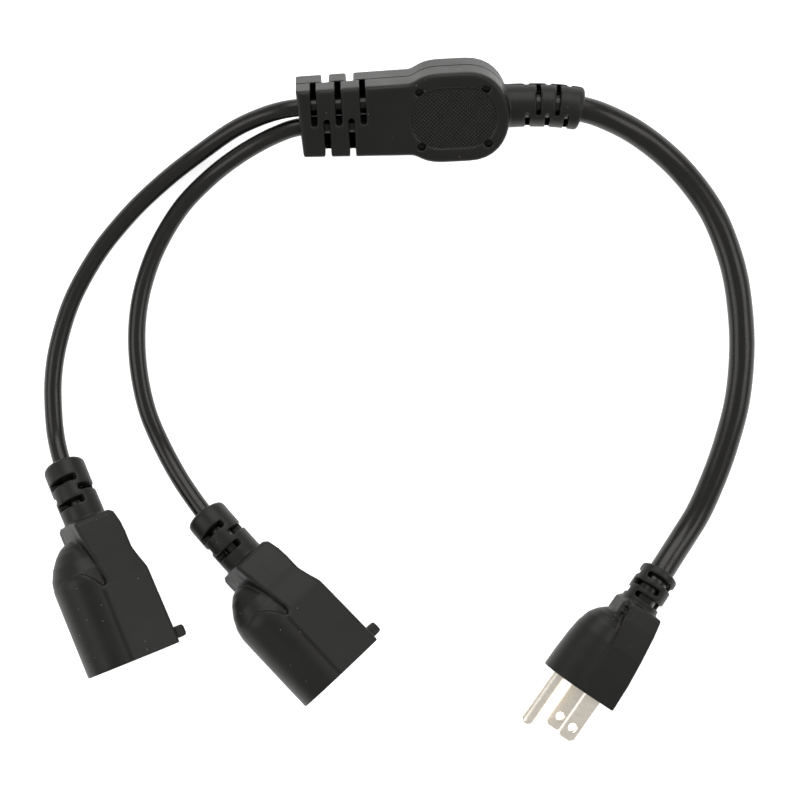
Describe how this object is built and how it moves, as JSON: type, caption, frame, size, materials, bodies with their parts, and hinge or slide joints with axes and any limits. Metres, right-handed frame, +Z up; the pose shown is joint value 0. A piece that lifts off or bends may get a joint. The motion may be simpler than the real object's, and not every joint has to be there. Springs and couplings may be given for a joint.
{
  "type": "power cord splitter",
  "caption": "Short grounded power cord that splits at a moulded block into branch cords, each ending in a moulded in-line socket, with a moulded plug at the supply end.",
  "frame": {"origin": "under the middle of the box round the junction, the plug and the sockets, at the height of the table they lie on", "axes": "+Z up from the table, +Y from the plug and sockets towards the junction, +X towards the plug's side"},
  "size_m": [0.2386, 0.228, 0.0299],
  "materials": {
    "moulded_pvc": "soft black moulded PVC, fine satin texture",
    "cord_jacket": "black extruded PVC jacket with a soft sheen",
    "inner_pvc": "dark pre-moulded inner block",
    "nickel_plate": "nickel plated brass, lightly brushed",
    "contact_brass": "plain spring brass",
    "wire_black": "black wire insulation",
    "wire_white": "white wire insulation",
    "wire_green": "green wire insulation"
  },
  "bodies": {
    "root": {"branch_cord_a": "cord_jacket", "branch_cord_b": "cord_jacket", "junction_inner_block": "inner_pvc", "junction_overmould": "moulded_pvc", "main_cord": "cord_jacket", "plug_blade_line": "nickel_plate", "plug_blade_neutral": "nickel_plate", "plug_ground_pin": "nickel_plate", "plug_inner_block": "inner_pvc", "plug_moulding": "moulded_pvc", "socket_a_contact_block": "inner_pvc", "socket_a_contact_ground": "contact_brass", "socket_a_contact_line": "contact_brass", "socket_a_contact_neutral": "contact_brass", "socket_a_moulding": "moulded_pvc", "socket_b_contact_block": "inner_pvc", "socket_b_contact_ground": "contact_brass", "socket_b_contact_line": "contact_brass", "socket_b_contact_neutral": "contact_brass", "socket_b_moulding": "moulded_pvc", "splice_crimp_ground": "contact_brass", "splice_crimp_line": "contact_brass", "splice_crimp_neutral": "contact_brass", "wire_branch_a_ground": "wire_green", "wire_branch_a_line": "wire_black", "wire_branch_a_neutral": "wire_white", "wire_branch_b_ground": "wire_green", "wire_branch_b_line": "wire_black", "wire_branch_b_neutral": "wire_white", "wire_main_ground": "wire_green", "wire_main_line": "wire_black", "wire_main_neutral": "wire_white", "wire_plug_ground": "wire_green", "wire_plug_line": "wire_black", "wire_plug_neutral": "wire_white", "wire_socket_a_ground": "wire_green", "wire_socket_a_line": "wire_black", "wire_socket_a_neutral": "wire_white", "wire_socket_b_ground": "wire_green", "wire_socket_b_line": "wire_black", "wire_socket_b_neutral": "wire_white"}
  },
  "joints": []
}
